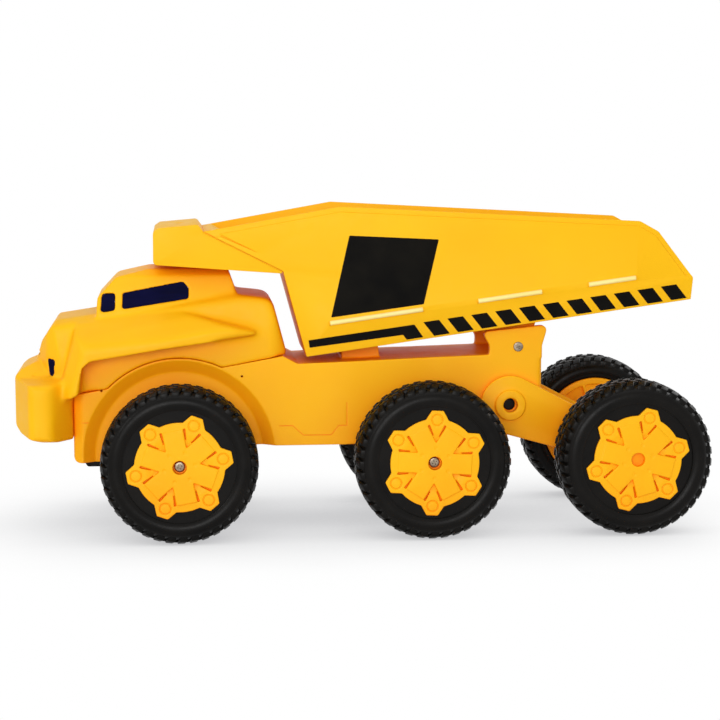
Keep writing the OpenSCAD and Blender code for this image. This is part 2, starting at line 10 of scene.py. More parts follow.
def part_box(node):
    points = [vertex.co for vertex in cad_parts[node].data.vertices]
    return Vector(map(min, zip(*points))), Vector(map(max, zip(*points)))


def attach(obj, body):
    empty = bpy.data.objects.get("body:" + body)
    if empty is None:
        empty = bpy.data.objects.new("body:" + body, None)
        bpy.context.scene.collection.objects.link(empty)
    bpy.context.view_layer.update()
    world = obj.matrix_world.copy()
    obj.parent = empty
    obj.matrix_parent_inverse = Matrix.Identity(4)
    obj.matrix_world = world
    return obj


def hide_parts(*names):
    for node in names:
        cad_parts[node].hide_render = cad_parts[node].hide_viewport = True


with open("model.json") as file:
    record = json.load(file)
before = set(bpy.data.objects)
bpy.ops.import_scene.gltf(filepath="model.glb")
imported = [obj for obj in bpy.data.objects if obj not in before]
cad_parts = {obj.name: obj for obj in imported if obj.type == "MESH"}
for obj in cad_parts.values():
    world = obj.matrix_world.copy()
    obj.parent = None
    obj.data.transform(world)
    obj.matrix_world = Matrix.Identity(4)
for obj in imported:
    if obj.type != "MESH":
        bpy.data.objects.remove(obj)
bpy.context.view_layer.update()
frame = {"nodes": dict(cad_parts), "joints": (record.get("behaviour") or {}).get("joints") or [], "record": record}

MM = 0.001
FULL_TURN = 2 * math.pi
NODES = frame["nodes"]
JOINTS = {joint["name"]: joint for joint in frame["joints"]}
AXLES = ("front", "middle", "rear")
SIDES = ("left", "right")
FLANKS = (1, -1)
HINGE = Vector(JOINTS["bed_tip"]["pos_m"])
FRONT_AXLE = Vector(JOINTS["wheel_front_left_roll"]["pos_m"]) * Vector((1, 0, 1))
BODY_OF = {node: body for body, nodes in frame["record"]["behaviour"]["bodies"].items() for node in nodes}
SLOT_OF = {part["node"]: part["material_slot"] for part in frame["record"]["subparts"]}


# Selecting and editing

def only(piece):
    """Selects this piece alone and makes it the active one."""
    bpy.ops.object.select_all(action="DESELECT")
    piece.select_set(True)
    bpy.context.view_layer.objects.active = piece


def edit(mode):
    """Goes into edit mode with vertices, edges or faces, with all of the mesh selected."""
    bpy.ops.object.mode_set(mode="EDIT")
    bpy.ops.mesh.select_mode(type=mode)
    bpy.ops.mesh.select_all(action="SELECT")


def leave():
    """Goes back to object mode."""
    bpy.ops.object.mode_set(mode="OBJECT")


def pick(kind, test):
    """Selects only the vertices or faces of the edited mesh that pass the test."""
    mesh = bpy.context.object.data
    bpy.ops.mesh.select_mode(type={"vertices": "VERT", "polygons": "FACE"}[kind])
    bpy.ops.mesh.select_all(action="DESELECT")
    leave()
    for part in getattr(mesh, kind):
        part.select = test(part)
    bpy.ops.object.mode_set(mode="EDIT")


def apply_modifier(piece, kind, **settings):
    """Adds a modifier with its settings and applies it."""
    only(piece)
    modifier = piece.modifiers.new(kind.lower(), kind)
    for name, value in settings.items():
        setattr(modifier, name, value)
    bpy.ops.object.modifier_apply(modifier=modifier.name)


def settle(piece):
    """Puts the piece's place into its mesh, so that its object sits at the origin, unturned."""
    only(piece)
    bpy.ops.object.transform_apply(location=True, rotation=True, scale=True)


def join(name, pieces):
    """Joins pieces into one mesh under one name."""
    bpy.ops.object.select_all(action="DESELECT")
    for piece in pieces:
        piece.select_set(True)
    bpy.context.view_layer.objects.active = pieces[0]
    bpy.ops.object.join()
    pieces[0].name = name
    pieces[0].data.name = name
    return pieces[0]


def copy_of(piece, name, matrix):
    """A copy with its own mesh, moved by the matrix."""
    twin = bpy.data.objects.new(name, piece.data.copy())
    bpy.context.scene.collection.objects.link(twin)
    twin.data.transform(matrix)
    return twin


def smooth(piece, degrees):
    """Shades a piece smooth, but for edges sharper than this angle."""
    only(piece)
    bpy.ops.object.shade_smooth_by_angle(angle=math.radians(degrees))


def finish_as(piece, body, finish, slot, *nodes):
    """Gives a piece its finish, sets it on its body, and hides the nodes it stands for. The slot is not used."""
    piece.data.materials.clear()
    piece.data.materials.append(finish)
    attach(piece, body)
    if nodes:
        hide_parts(*nodes)
    return piece


# Materials

def hex_linear(code):
    """An sRGB hex colour as linear light."""
    def channel(pair):
        value = int(pair, 16) / 255
        return value / 12.92 if value <= 0.04045 else ((value + 0.055) / 1.055) ** 2.4
    return tuple(channel(code[i:i + 2]) for i in (1, 3, 5)) + (1.0,)


def per_mm(size):
    """Texture scale at which a pattern repeats about every so many millimetres."""
    return 1 / (size * MM)


def add(tree, kind, values=None, links=None, **settings):
    """Adds a node with its settings, its socket values and its links."""
    node = tree.nodes.new(kind)
    for name, value in settings.items():
        setattr(node, name, value)
    for socket, value in (values or {}).items():
        node.inputs[socket].default_value = value
    for socket, source in (links or {}).items():
        tree.links.new(source, node.inputs[socket])
    return node


def surface(name, values):
    """A new material with one shader, and the place in the object that its patterns read."""
    material = bpy.data.materials.new(name)
    material.use_nodes = True
    tree = material.node_tree
    tree.nodes.clear()
    shader = add(tree, "ShaderNodeBsdfPrincipled", values)
    add(tree, "ShaderNodeOutputMaterial", links={"Surface": shader.outputs["BSDF"]})
    place = add(tree, "ShaderNodeTexCoord").outputs["Object"]
    return material, tree, shader, place


def clouds(tree, place, size, detail, low, high):
    """Soft noise of a real size, as two colours that it blends between."""
    noise = add(tree, "ShaderNodeTexNoise", {"Scale": per_mm(size), "Detail": detail}, {"Vector": place})
    ramp = add(tree, "ShaderNodeValToRGB", links={"Fac": noise.outputs["Fac"]})
    ramp.color_ramp.elements[0].position = 0.3
    ramp.color_ramp.elements[1].position = 0.7
    ramp.color_ramp.elements[0].color = low
    ramp.color_ramp.elements[1].color = high
    return ramp.outputs["Color"]


def grey(value):
    """A number as a colour, for ramps that carry numbers."""
    return (value, value, value, 1.0)


# How far the painted shade in recesses reaches, and its orange colour
PAINTED_SHADE_REACH = 120 * MM
PAINTED_SHADE_TINT = (1.0, 0.55, 0.6, 1.0)


def painted_recess_shade(tree, colour):
    """Painted shade: the plastic's colour turns to orange where it is closed in, standing in for shade and for
    light bounced from wall to wall.
    """
    closed = add(tree, "ShaderNodeAmbientOcclusion", {"Distance": PAINTED_SHADE_REACH}, samples=6)
    ramp = add(tree, "ShaderNodeValToRGB", links={"Fac": closed.outputs["AO"]})
    ramp.color_ramp.elements[0].position = 0.15
    ramp.color_ramp.elements[1].position = 0.8
    ramp.color_ramp.elements[0].color = PAINTED_SHADE_TINT
    ramp.color_ramp.elements[1].color = grey(1.0)
    tinted = add(tree, "ShaderNodeMix", {"Factor": 1.0}, data_type="RGBA", blend_type="MULTIPLY")
    tree.links.new(colour, tinted.inputs["A"])
    tree.links.new(ramp.outputs["Color"], tinted.inputs["B"])
    return tinted.outputs["Result"]


def moulded_abs(name, light, deep, gloss=(0.44, 0.54)):
    """Moulded ABS, coloured right through: satin gloss, a little deeper where the melt cooled slowly, with painted
    orange shade in its recesses and a faint ripple from the mould. The ripple is drawn coarse enough to show."""
    material, tree, shader, place = surface(name, {"IOR": 1.5, "Specular IOR Level": 0.2})
    colour = clouds(tree, place, 70, 2, hex_linear(deep), hex_linear(light))
    # Painted shade: orange where the surface is closed in
    tree.links.new(painted_recess_shade(tree, colour), shader.inputs["Base Color"])
    tree.links.new(clouds(tree, place, 9, 3, grey(gloss[0]), grey(gloss[1])), shader.inputs["Roughness"])
    ripple = add(tree, "ShaderNodeTexNoise", {"Scale": per_mm(14), "Detail": 1}, {"Vector": place})
    wave = add(tree, "ShaderNodeBump", {"Strength": 0.03, "Distance": 0.6 * MM},
               {"Height": ripple.outputs["Fac"]})
    tree.links.new(wave.outputs["Normal"], shader.inputs["Normal"])
    return material


def blown_black(name, light, deep, gloss, grain_mm):
    """Blow-moulded black polyethylene: near black with a waxy sheen that breaks up on a fine grain."""
    material, tree, shader, place = surface(name, {"IOR": 1.51, "Specular IOR Level": 0.09})
    colour = clouds(tree, place, 30, 3, hex_linear(deep), hex_linear(light))
    tree.links.new(colour, shader.inputs["Base Color"])
    tree.links.new(clouds(tree, place, 5, 4, grey(gloss[0]), grey(gloss[1])), shader.inputs["Roughness"])
    grain = add(tree, "ShaderNodeTexNoise", {"Scale": per_mm(grain_mm), "Detail": 3}, {"Vector": place})
    bump = add(tree, "ShaderNodeBump", {"Strength": 0.12, "Distance": 0.2 * MM},
               {"Height": grain.outputs["Fac"]})
    tree.links.new(bump.outputs["Normal"], shader.inputs["Normal"])
    return material


def printed_pane(name):
    """Navy printed film on the window panes: deep colour under a clear gloss, with faint streaks."""
    material, tree, shader, place = surface(name, {"IOR": 1.5, "Specular IOR Level": 0.03})
    stretch = add(tree, "ShaderNodeMapping", {"Scale": (1, 1, 6)}, {"Vector": place})
    tint = clouds(tree, stretch.outputs["Vector"], 40, 2, hex_linear("#060724"), hex_linear("#0a0b34"))
    tree.links.new(tint, shader.inputs["Base Color"])
    tree.links.new(clouds(tree, place, 8, 2, grey(0.16), grey(0.24)), shader.inputs["Roughness"])
    return material


def black_vinyl(name):
    """Cut black vinyl film, satin, laid flat on the plastic."""
    material, tree, shader, place = surface(name, {"IOR": 1.5, "Specular IOR Level": 0.05})
    tree.links.new(clouds(tree, place, 25, 2, hex_linear("#070605"), hex_linear("#110f0b")),
                   shader.inputs["Base Color"])
    tree.links.new(clouds(tree, place, 6, 3, grey(0.34), grey(0.44)), shader.inputs["Roughness"])
    return material


def plated_steel(name):
    """Zinc-plated screws and rods: bright metal with fine turning marks."""
    material, tree, shader, place = surface(name, {"Metallic": 1.0})
    tree.links.new(clouds(tree, place, 4, 3, hex_linear("#6f6152"), hex_linear("#a89a86")),
                   shader.inputs["Base Color"])
    tree.links.new(clouds(tree, place, 1.5, 2, grey(0.26), grey(0.4)), shader.inputs["Roughness"])
    return material


BED_YELLOW = moulded_abs("moulded_abs_bed_yellow", "#fcc001", "#fabb01")
CAB_YELLOW = moulded_abs("moulded_abs_cab_yellow", "#fcbd03", "#fbb602")
CHASSIS_YELLOW = moulded_abs("moulded_abs_chassis_yellow", "#ffbe06", "#feb604")
HUB_YELLOW = moulded_abs("moulded_abs_hub_yellow", "#fdbc05", "#fbb203", (0.46, 0.56))
# Painted highlight: a pale yellow for the light that the ribs' round tops catch
RIB_HIGHLIGHT_YELLOW = moulded_abs("moulded_abs_rubbed_ridge", "#fff0a4", "#ffe88c")
TYRE_BLACK = blown_black("blown_polyethylene_black", "#141210", "#0b0a09", (0.28, 0.4), 2.2)
COVER_BLACK = blown_black("moulded_polypropylene_black", "#161413", "#0d0c0b", (0.42, 0.55), 1.6)
PANE_NAVY = printed_pane("printed_navy_film")
VINYL_BLACK = black_vinyl("cut_vinyl_black")
PLATED_STEEL = plated_steel("zinc_plated_steel")
FINISH = {"yellow_plastic": CHASSIS_YELLOW, "hub_yellow": HUB_YELLOW, "black_tyre": TYRE_BLACK,
          "black_plastic": COVER_BLACK, "navy_panes": PANE_NAVY, "steel": PLATED_STEEL}
for node, part in NODES.items():
    part.data.materials.clear()
    part.data.materials.append(FINISH[SLOT_OF[node]])


# Wheels: each kind of piece is made once at the origin, facing the truck's left, and copied to its wheels

WHEEL_TURN = {"front": math.radians(10.5), "middle": math.radians(27), "rear": math.radians(15)}


def at_wheel(axle, side):
    """Where a piece made at the origin goes: out to its wheel, turned as that axle's wheels stand."""
    centre = Matrix.Translation(JOINTS[f"wheel_{axle}_{side}_roll"]["pos_m"])
    turn = WHEEL_TURN[axle]
    if side == "left":
        return centre @ Matrix.Rotation(turn, 4, "Y")
    return centre @ Matrix.Rotation(math.pi, 4, "Z") @ Matrix.Rotation(-turn, 4, "Y")


# Tyres: a spun carcass with five rows of slanted lugs, modelled once and copied

WHEEL_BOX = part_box("tyre_front_left")
WHEEL_R = (WHEEL_BOX[1].z - WHEEL_BOX[0].z) / 2
TYRE_W = WHEEL_BOX[1].y - WHEEL_BOX[0].y
TYRE_STEPS = 120
LUG_COUNT = 40
LUG_H = 3.5 * MM
LUG_ROOT = 3 * MM
LUG_SHARE = 0.7
LUG_ROUNDING = 0.7 * MM
LUG_CLEARANCE = 0.25 * MM
TREAD_R = WHEEL_R - LUG_H


def draw_profile(points):
    """Draws a closed outline in the YZ plane, one extruded point after another."""
    bpy.ops.object.select_all(action="DESELECT")
    bpy.ops.mesh.primitive_plane_add(size=MM, location=(0, 0, 0))
    edit("VERT")
    bpy.ops.mesh.merge(type="CENTER")
    bpy.ops.transform.translate(value=(0, *points[0]))
    for before, after in zip(points, points[1:]):
        step = (0, after[0] - before[0], after[1] - before[1])
        bpy.ops.mesh.extrude_region_move(TRANSFORM_OT_translate={"value": step})
    bpy.ops.mesh.select_all(action="SELECT")
    bpy.ops.mesh.edge_face_add()
    bpy.ops.mesh.delete(type="ONLY_FACE")
    leave()
    return bpy.context.object


def carcass():
    """The tyre without lugs: sidewalls that swell out past the hub, round shoulders, a nearly flat tread."""
    half = TYRE_W / 2
    seat = half - 4 * MM
    outer = [(seat, 40 * MM), (seat, 53.8 * MM), (half - 2.2 * MM, 53.9 * MM)]
    swell = [(half - 1.0 * MM, 55.4 * MM), (half - 0.2 * MM, 58.2 * MM), (half, 60.8 * MM),
             (half - 0.6 * MM, 64 * MM), (half - 2 * MM, 66.3 * MM), (half - 4.2 * MM, 68.2 * MM),
             (half - 7.5 * MM, TREAD_R - 1.6 * MM), (half - 12 * MM, TREAD_R - 0.5 * MM),
             (half - 17 * MM, TREAD_R)]
    near = outer + swell
    tyre = draw_profile(near + [(-y, r) for y, r in reversed(near)])
    edit("VERT")
    bpy.ops.mesh.spin(steps=TYRE_STEPS, angle=FULL_TURN, center=(0, 0, 0), axis=(0, 1, 0))
    bpy.ops.mesh.select_all(action="SELECT")
    bpy.ops.mesh.remove_doubles(threshold=0.01 * MM)
    bpy.ops.mesh.normals_make_consistent(inside=False)
    leave()
    return tyre


def lug_row(y, width, slant, turn, drop):
    """One row of lugs: a block is tapered, slanted and rounded, then spun round the tyre."""
    pitch = FULL_TURN / LUG_COUNT
    root = TREAD_R - LUG_ROOT
    top = WHEEL_R - LUG_CLEARANCE
    bpy.ops.object.select_all(action="DESELECT")
    bpy.ops.mesh.primitive_cube_add(size=1, location=(0, y, (root + top) / 2))
    row = bpy.context.object
    row.scale = (LUG_SHARE * pitch * top, width, top - root)
    settle(row)
    edit("VERT")
    pick("vertices", lambda v: v.co.z > TREAD_R)
    bpy.ops.transform.resize(value=(0.86, 0.9, 1), center_override=(0, y, top))
    for end in FLANKS:
        pick("vertices", lambda v: (v.co.y - y) * end > 0)
        bpy.ops.transform.translate(value=(slant * end, 0, 0))
    if drop:
        pick("vertices", lambda v: (v.co.y - y) * math.copysign(1, y) > 0)
        bpy.ops.transform.translate(value=(0, 0, -drop))
    bpy.ops.mesh.select_all(action="SELECT")
    bpy.ops.mesh.bevel(offset=LUG_ROUNDING, segments=2, affect="EDGES")
    bpy.ops.mesh.select_all(action="SELECT")
    bpy.ops.transform.rotate(value=turn * pitch, orient_axis="Y", center_override=(0, 0, 0))
    bpy.ops.mesh.spin(steps=LUG_COUNT - 1, dupli=True, angle=FULL_TURN - pitch, center=(0, 0, 0),
                      axis=(0, 1, 0))
    leave()
    return row


# Each row's place and width across the tread, the slant of its lugs, its turn as a share of a lug's pitch,
# and how far its outer end drops towards the shoulder
LUG_ROWS = [(17.6, 8.4, 1.4, 0, 3.4), (9, 7.4, -1.7, 0.5, 0.8), (0, 8, 1.7, 0, 0),
            (-9, 7.4, -1.7, 0.5, 0.8), (-17.6, 8.4, 1.4, 0, 3.4)]


def lugged_tyre():
    """The pattern for all six tyres."""
    rows = [lug_row(y * MM, width * MM, slant * MM, turn, drop * MM)
            for y, width, slant, turn, drop in LUG_ROWS]
    tyre = join("lugged_tyre", [carcass()] + rows)
    smooth(tyre, 38)
    return tyre


pattern_tyre = lugged_tyre()
for axle in AXLES:
    for side in SIDES:
        wheel = f"{axle}_{side}"
        tyre = copy_of(pattern_tyre, "lugged_tyre_" + wheel, at_wheel(axle, side))
        finish_as(tyre, "wheel_" + wheel, TYRE_BLACK, "black_tyre", "tyre_" + wheel)
bpy.data.objects.remove(pattern_tyre)


# Screws with crossed recesses, in the wheels and at the hinge

WHEEL_HEAD_R = 5.2 * MM
WHEEL_HEAD_H = 3.2 * MM
HINGE_HEAD_H = 2 * MM
HINGE_ROD_R = 3 * MM
HINGE_ROD_ROUNDING = 0.3 * MM
HEAD_TURN = 0.5


def screw_head(radius, height):
    """A round head with a domed edge and a crossed recess, its seat at the origin, facing +Z."""
    bpy.ops.object.select_all(action="DESELECT")
    bpy.ops.mesh.primitive_cylinder_add(vertices=40, radius=radius, depth=height, location=(0, 0, height / 2))
    head = bpy.context.object
    edit("FACE")
    pick("polygons", lambda f: f.normal.z > 0.9)
    bpy.ops.mesh.bevel(offset=0.45 * height, segments=4, affect="EDGES")
    leave()
    bars = []
    for turn in (0, math.pi / 2):
        bpy.ops.object.select_all(action="DESELECT")
        bpy.ops.mesh.primitive_cube_add(size=1, location=(0, 0, height), rotation=(0, 0, turn))
        bar = bpy.context.object
        bar.scale = (1.15 * radius, 0.26 * radius, 1.1 * height)
        settle(bar)
        edit("VERT")
        pick("vertices", lambda v: v.co.z < height)
        bpy.ops.transform.resize(value=(0.55, 0.55, 1), center_override=(0, 0, height))
        leave()
        bars.append(bar)
    for bar in bars:
        apply_modifier(head, "BOOLEAN", operation="DIFFERENCE", object=bar)
        bpy.data.objects.remove(bar)
    smooth(head, 30)
    return head


def facing_out(place, side):
    """Turns a head that faces +Z to face out of the truck's side, at a place on it."""
    outward = Matrix.Rotation(-side * math.pi / 2, 4, "X")
    return Matrix.Translation(place) @ outward @ Matrix.Rotation(HEAD_TURN, 4, "Z")


def wheel_screws():
    """The screw heads in the front and middle wheels."""
    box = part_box("wheel_screws")
    head = screw_head(WHEEL_HEAD_R, WHEEL_HEAD_H)
    heads = []
    for axle in ("front", "middle"):
        for side, flank in zip(SIDES, FLANKS):
            centre = Vector(JOINTS[f"wheel_{axle}_{side}_roll"]["pos_m"])
            centre.y = flank * (box[1].y - WHEEL_HEAD_H)
            heads.append(copy_of(head, "head", facing_out(centre, flank)))
    bpy.data.objects.remove(head)
    finish_as(join("wheel_screw_heads", heads), "chassis", PLATED_STEEL, "steel", "wheel_screws")


def hinge_pin():
    """The rod that the dump body tips on, with a screw head at each end."""
    low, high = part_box("hinge_pin")
    seat = high.y - HINGE_HEAD_H
    head = screw_head((high.z - low.z) / 2, HINGE_HEAD_H)
    places = [HINGE + Vector((0, flank * seat, 0)) for flank in FLANKS]
    pieces = [copy_of(head, "head", facing_out(place, flank)) for place, flank in zip(places, FLANKS)]
    bpy.data.objects.remove(head)
    bpy.ops.object.select_all(action="DESELECT")
    bpy.ops.mesh.primitive_cylinder_add(vertices=32, radius=HINGE_ROD_R, depth=2 * seat, location=HINGE,
                                        rotation=(math.pi / 2, 0, 0))
    rod = bpy.context.object
    settle(rod)
    apply_modifier(rod, "BEVEL", width=HINGE_ROD_ROUNDING, segments=2, limit_method="ANGLE")
    smooth(rod, 40)
    pieces.append(rod)
    finish_as(join("hinge_pin_with_heads", pieces), "chassis", PLATED_STEEL, "steel", "hinge_pin")


wheel_screws()
hinge_pin()


# Films on the sides of the dump body: a bare plate and a row of hazard dashes

FLOOR_TILT = math.radians(7.9)
BED_LOW_EDGE = 22 * MM
BED_LOW_HALF = 57 * MM
BED_LEAN = 7 / 137
FILM_T = 0.25 * MM
FILM_GAP = 0.05 * MM
PLATE_ROUNDING = 0.8 * MM
DASH_ROUNDING = 0.4 * MM


def on_bed(ahead, up, flank, proud):
    """A point on the outside of a side wall, from its place along the floor and up from the hinge."""
    across = BED_LOW_HALF + BED_LEAN * (up - BED_LOW_EDGE) + proud
    turn = Matrix.Rotation(FLOOR_TILT, 3, "Y")
    return HINGE + turn @ Vector((ahead, flank * across, up))


def slab(name, places, across, rounding=0):
    """A flat piece with these corners and its thickness across the truck, its corners rounded a little."""
    bpy.ops.object.select_all(action="DESELECT")
    bpy.ops.mesh.primitive_plane_add(size=MM, location=(0, 0, 0))
    edit("VERT")
    bpy.ops.mesh.merge(type="CENTER")
    bpy.ops.transform.translate(value=places[0])
    for before, after in zip(places, places[1:]):
        bpy.ops.mesh.extrude_region_move(TRANSFORM_OT_translate={"value": after - before})
    bpy.ops.mesh.select_all(action="SELECT")
    bpy.ops.mesh.edge_face_add()
    bpy.ops.mesh.select_all(action="SELECT")
    if rounding:
        bpy.ops.mesh.bevel(offset=rounding, segments=3, affect="VERTICES")
        bpy.ops.mesh.select_all(action="SELECT")
    bpy.ops.mesh.extrude_region_move(TRANSFORM_OT_translate={"value": (0, across, 0)})
    bpy.ops.mesh.select_all(action="SELECT")
    bpy.ops.mesh.normals_make_consistent(inside=False)
    leave()
    bpy.context.object.name = name
    return bpy.context.object


def film(name, outline, flank, rounding):
    """A piece of film on a side of the dump body, given by its corners in millimetres."""
    places = [on_bed(ahead * MM, up * MM, flank, FILM_GAP) for ahead, up in outline]
    return slab(name, places, flank * FILM_T, rounding)


# Corners are [along the floor from the hinge, up from it]
PLATE = [(150.6, 132.8), (65.4, 116.6), (87.9, 56.3), (178.8, 56.7)]
BAR = [(203.6, 30.5), (203.6, 37.8), (99.5, 37.8), (92.6, 24.2), (108.8, 24.2), (111.7, 29.4)]
FIRST_DASH = [(90.5, 38.8), (81.7, 24), (66.2, 24), (75, 38.8)]
DASH_PITCH = 23.7
DASH_COUNT = 11


for side, flank in zip(SIDES, FLANKS):
    plate = film("bare_plate_" + side, PLATE, flank, PLATE_ROUNDING)
    finish_as(plate, "dump_bed", VINYL_BLACK, "black_plastic")
    bar = film("bar", BAR, flank, DASH_ROUNDING)
    dash = film("dash", FIRST_DASH, flank, DASH_ROUNDING)
    backwards = Matrix.Rotation(FLOOR_TILT, 3, "Y") @ Vector((-DASH_PITCH * MM, 0, 0))
    row = [copy_of(dash, "dash", Matrix.Translation(i * backwards)) for i in range(1, DASH_COUNT)]
    finish_as(join("hazard_dashes_" + side, [bar, dash] + row), "dump_bed", VINYL_BLACK, "black_plastic")


# Ribs along the sides of the dump body, pale as a painted highlight, and black plugs behind the sockets of the
# rear arms, as painted shade in the bores

def round_bar(name, start, end, radius, rounding):
    """A round bar between two points, with rounded ends."""
    along = end - start
    bpy.ops.object.select_all(action="DESELECT")
    bpy.ops.mesh.primitive_cylinder_add(vertices=32, radius=radius, depth=along.length,
                                        location=(start + end) / 2,
                                        rotation=along.to_track_quat("Z", "Y").to_euler())
    bar = bpy.context.object
    bar.name = name
    settle(bar)
    apply_modifier(bar, "BEVEL", width=rounding, segments=4, limit_method="ANGLE")
    smooth(bar, 40)
    return bar


# Where each rib starts and ends along the floor, and the ribs' height, from the hinge
RIBS = [(88.5, 181.5), (-29.5, 35.5), (-123.5, -74.5)]
RIB_UP = 51.3
RIB_R = 2.3 * MM
RIB_ROUNDING = 1.5 * MM
# A black plug deep in each socket is painted shade: it makes the bore look dark, as in shadow
SHADE_PLUG_R = 5.9 * MM
SHADE_PLUG_ROUNDING = 1 * MM
SHADE_PLUG_ENDS = (37 * MM, 49 * MM)
for side, flank in zip(SIDES, FLANKS):
    bars = []
    for rib in RIBS:
        start, end = [on_bed(ahead * MM, RIB_UP * MM, flank, 0) for ahead in rib]
        bars.append(round_bar("rib", start, end, RIB_R, RIB_ROUNDING))
    # The ribs' pale yellow is a painted highlight
    finish_as(join("rubbed_ribs_" + side, bars), "dump_bed", RIB_HIGHLIGHT_YELLOW, "yellow_plastic")
    # Painted shade: a black plug set into the socket's bore
    socket = Vector(frame["record"]["mounts"][SIDES.index(side)]["pos_m"])
    ends = [Vector((socket.x, flank * across, socket.z)) for across in SHADE_PLUG_ENDS]
    shade_plug = round_bar("socket_plug_" + side, *ends, SHADE_PLUG_R, SHADE_PLUG_ROUNDING)
    finish_as(shade_plug, "chassis", COVER_BLACK, "black_plastic")


# Mouldings: the frame's own shapes with the rounded edges that a mould gives

def blank(node):
    """A copy of a node's mesh with its loose triangles joined up."""
    piece = bpy.data.objects.new("moulded_" + node, NODES[node].data.copy())
    bpy.context.scene.collection.objects.link(piece)
    only(piece)
    edit("VERT")
    bpy.ops.mesh.remove_doubles(threshold=0.004 * MM)
    leave()
    return piece


def bevelled(node, finish, radius):
    """A plain moulding: its edges are bevelled to one radius."""
    piece = blank(node)
    edit("VERT")
    bpy.ops.mesh.dissolve_limited(angle_limit=math.radians(0.3))
    leave()
    apply_modifier(piece, "BEVEL", width=radius, segments=3, limit_method="ANGLE",
                   angle_limit=math.radians(30), use_clamp_overlap=False, miter_outer="MITER_ARC")
    smooth(piece, 40)
    return finish_as(piece, BODY_OF[node], finish, SLOT_OF[node], node)


def cast(node, grain, passes):
    """A moulding with many small forms: it is remade in fine even faces, and smoothing rounds its edges."""
    piece = blank(node)
    apply_modifier(piece, "REMESH", mode="VOXEL", voxel_size=grain)
    apply_modifier(piece, "SMOOTH", factor=0.5, iterations=passes)
    return piece


def soften(piece, regions):
    """Smooths parts of a moulding where two forms flow into each other. A region is its number of passes
    and a weight from each place, in millimetres from the front axle with both sides as one, and from the
    way that the surface faces there."""
    vertices = piece.data.vertices
    place, facing = np.empty(3 * len(vertices), np.float32), np.empty(3 * len(vertices), np.float32)
    vertices.foreach_get("co", place)
    vertices.foreach_get("normal", facing)
    place = (place.reshape(-1, 3) - np.array(FRONT_AXLE)) / MM
    facing = facing.reshape(-1, 3)
    facing[:, 1] *= np.sign(place[:, 1])
    place[:, 1] = np.abs(place[:, 1])
    for passes, weigh in regions:
        group = piece.vertex_groups.new(name="soft")
        tenths = np.round(10 * weigh(place.T, facing.T))
        for tenth in range(1, 11):
            group.add(np.flatnonzero(tenths == tenth).tolist(), tenth / 10, "REPLACE")
        apply_modifier(piece, "SMOOTH", factor=0.5, iterations=passes, vertex_group=group.name)
        piece.vertex_groups.clear()


def thin_out(piece, triangles):
    """Takes faces away where the surface is flat, down to about this many triangles."""
    count = sum(len(face.vertices) - 2 for face in piece.data.polygons)
    apply_modifier(piece, "DECIMATE", ratio=min(1, triangles / count))
    smooth(piece, 50)


def cut(piece, cutter):
    """Takes a cutter's shape out of a piece, and puts the cutter away."""
    apply_modifier(piece, "BOOLEAN", operation="DIFFERENCE", solver="MANIFOLD", object=cutter)
    bpy.data.objects.remove(cutter)


def line_cutter(place, path, width, depth, flank):
    """A thin blade along a line drawn on a side of the truck, in millimetres, to cut a groove with."""
    points = [Vector(point) for point in path]
    steps = [(after - before).normalized() for before, after in zip(points, points[1:])]
    near, far = [], []
    for point, before, after in zip(points, steps[:1] + steps, steps + steps[-1:]):
        along = (before + after).normalized()
        aside = along.orthogonal() * width / 2 / along.dot(after)
        near.append(point + aside)
        far.append(point - aside)
    corners = [place(c.x * MM, c.y * MM, flank, -depth * MM) for c in near + far[::-1]]
    return slab("blade", corners, flank * 2 * depth * MM)


FLANK_Y = 56 * MM


def on_flank(ahead, up, flank, proud):
    """A point on the chassis's side, from its place ahead of the front axle and above it."""
    return FRONT_AXLE + Vector((ahead, flank * (FLANK_Y + proud), up))


# Width and depth of the seams in millimetres
SEAM_W = 0.9
SEAM_DEPTH = 1
# Where the mould's slides met, and the screw holes beside the front wheel, as [ahead, up] from the axle
SLIDE_SEAM = [(-97, 28), (-110, 28), (-120.5, 18.5), (-147.5, 18.5), (-155, 27.5), (-163, 27.5), (-163, 50)]
FASCIA_SEAM = [(98, 33.7), (72, 33.7)]
SCREW_HOLES = [(74, 64.5), (-61, 77)]
SCREW_HOLE_R = 1.5 * MM
DRILL_LENGTH = 40 * MM
DRILL_PROUD = 6 * MM
# Where the cab guard is set onto the dump body, as [along the floor, up] from the hinge
GUARD_SEAM = [(218.5, 108), (287, 155.5)]
GUARD_SEAM_DEPTH = 2.4


def screw_hole(ahead, up, flank):
    """A tapered drill that makes a screw hole in the chassis's side."""
    bpy.ops.object.select_all(action="DESELECT")
    bpy.ops.mesh.primitive_cone_add(vertices=24, radius1=SCREW_HOLE_R, radius2=0.7 * SCREW_HOLE_R,
                                    depth=DRILL_LENGTH, location=on_flank(ahead, up, flank, DRILL_PROUD),
                                    rotation=(flank * math.pi / 2, 0, 0))
    settle(bpy.context.object)
    return bpy.context.object


# Size of the even faces that mouldings are remade in, and about how many triangles are kept
CHASSIS_GRAIN, CHASSIS_TRIANGLES = 0.9 * MM, 120_000
CAB_GRAIN, CAB_TRIANGLES = 0.85 * MM, 150_000
CAP_GRAIN, CAP_TRIANGLES = 0.42 * MM, 36_000
DISC_GRAIN, DISC_TRIANGLES = 0.7 * MM, 14_000


